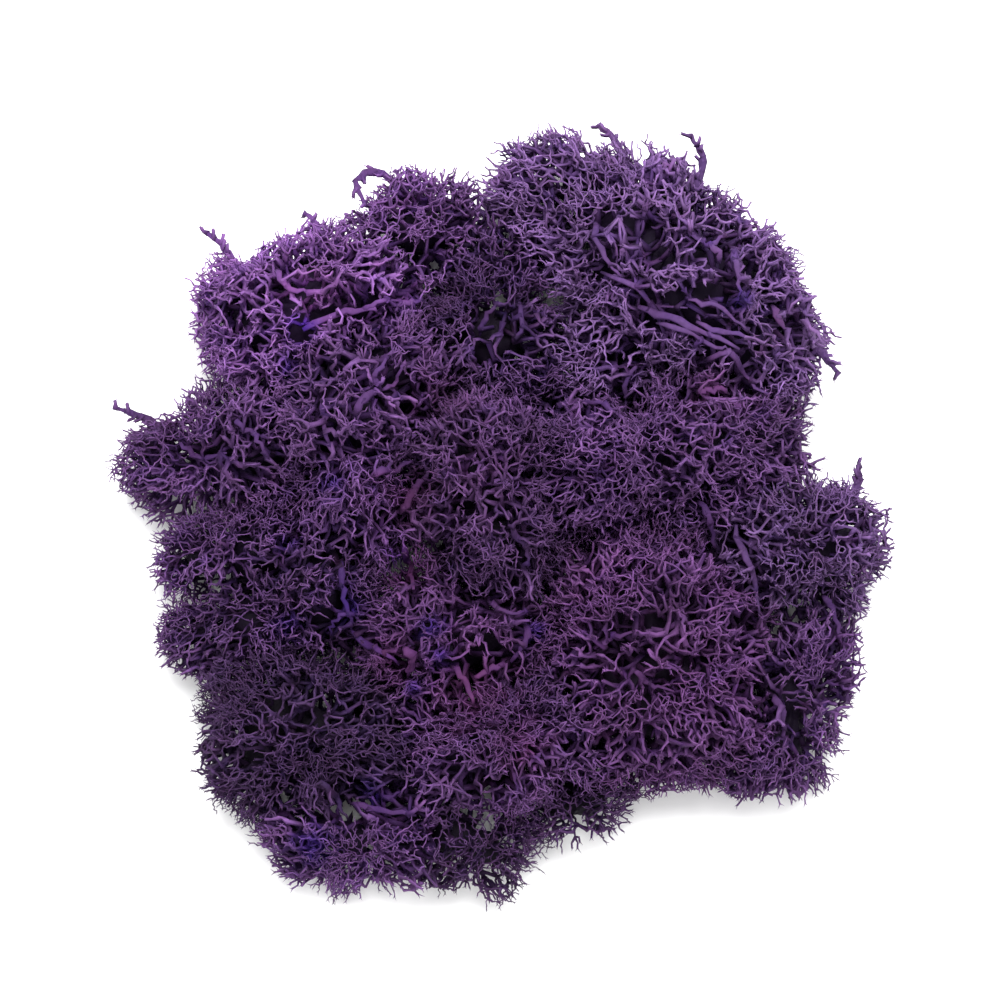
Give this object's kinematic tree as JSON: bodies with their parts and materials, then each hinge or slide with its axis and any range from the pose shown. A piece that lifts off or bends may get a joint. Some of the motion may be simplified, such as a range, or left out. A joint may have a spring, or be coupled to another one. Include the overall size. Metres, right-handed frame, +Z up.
{
  "type": "reindeer moss clump",
  "caption": "Low rounded clump of violet-dyed reindeer moss: a crowd of densely forked lichen tufts leaning on each other, resting flat.",
  "frame": {"origin": "on the surface that the clump rests on, under the middle of its outline", "axes": "+Z up, +X to the right and -Y to the front as the picture shows it from above"},
  "size_m": [0.141, 0.1444, 0.0423],
  "materials": {
    "lichen_violet": "dull dyed lichen, pale frosted tips and nearly black gaps",
    "lichen_grey_violet": "dull dyed lichen, greyer and paler, side-on stems",
    "lichen_rosy_violet": "dull dyed lichen with pinkish patches where the dye took redder",
    "lichen_deep_violet": "dull dyed lichen, darker where the dye is strongest"
  },
  "bodies": {
    "root": {"back_right": "lichen_grey_violet", "right_middle": "lichen_violet", "front_right": "lichen_rosy_violet", "right": "lichen_grey_violet", "right_front": "lichen_violet", "back_middle": "lichen_deep_violet", "back_left": "lichen_violet", "back_left_top": "lichen_violet", "left": "lichen_violet", "centre_left": "lichen_violet", "left_front": "lichen_violet", "left_low": "lichen_violet", "front_left": "lichen_deep_violet", "front": "lichen_violet", "front_end": "lichen_violet", "centre": "lichen_violet", "centre_front": "lichen_rosy_violet", "front_middle": "lichen_violet", "front_small": "lichen_violet"}
  },
  "joints": []
}
